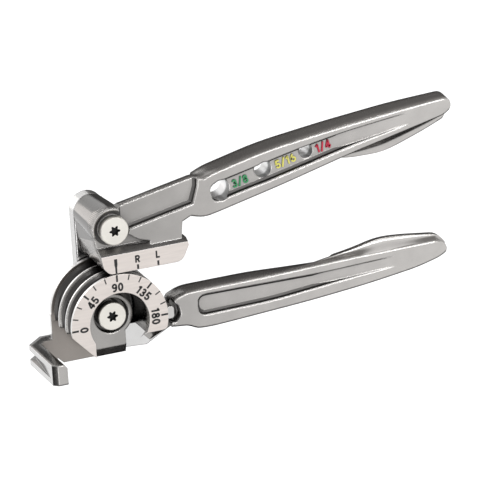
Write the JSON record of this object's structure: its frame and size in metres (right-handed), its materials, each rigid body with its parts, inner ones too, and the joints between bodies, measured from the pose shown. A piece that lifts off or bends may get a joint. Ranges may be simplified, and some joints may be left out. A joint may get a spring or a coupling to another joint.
{
  "type": "tube_bender",
  "caption": "Hand tube bender for three tube sizes: a grooved half wheel with dial and tube hook, a linked forming handle with grooved shoe and gauge holes, and a lower handle.",
  "frame": {"origin": "on the wheel's axis, in the plane of the link's back", "axes": "+X from the 0 mark to the 180 mark of the dial, along the lower handle; +Y towards the 90 mark, where the shoe's 0 mark stands; +Z out of the dial towards the user, along the pivots"},
  "size_m": [0.2093, 0.1036, 0.0436],
  "materials": {
    "cast_steel": "satin, lightly polished casting",
    "forged_steel": "polished edges",
    "screw_steel": "bright plated",
    "fastener_steel": "plated",
    "bearing_bronze": "sintered, oiled"
  },
  "bodies": {
    "lower_handle_body": {"lower_handle": "cast_steel", "handle_eye_bush": "bearing_bronze", "stop_stud": "fastener_steel"},
    "wheel_body": {"forming_wheel": "cast_steel", "wheel_rear_bush": "bearing_bronze", "wheel_front_bush": "bearing_bronze"},
    "link_body": {"link_plate": "forged_steel", "lower_lock_nut": "fastener_steel", "upper_lock_nut": "fastener_steel", "lower_thrust_washer": "bearing_bronze", "upper_thrust_washer": "bearing_bronze", "lower_pivot_screw": "screw_steel", "upper_pivot_screw": "screw_steel", "lower_head_washer": "fastener_steel", "upper_head_washer": "fastener_steel", "upper_wave_washer": "fastener_steel"},
    "forming_handle_body": {"forming_handle": "cast_steel", "boss_rear_bush": "bearing_bronze", "boss_front_bush": "bearing_bronze"}
  },
  "joints": [
    {"name": "wheel_index", "type": "hinge", "parent": "lower_handle_body", "child": "wheel_body", "pos_m": [0, 0, 0.02], "axis": [0, 0, 1], "range_deg": [0, 90]},
    {"name": "link_swing", "type": "hinge", "parent": "lower_handle_body", "child": "link_body", "pos_m": [0, 0, 0.0034], "axis": [0, 0, 1], "range_deg": [-15, 90]},
    {"name": "forming_swing", "type": "hinge", "parent": "link_body", "child": "forming_handle_body", "pos_m": [0, 0.0457, 0.02], "axis": [0, 0, 1], "range_deg": [0, 120]}
  ]
}
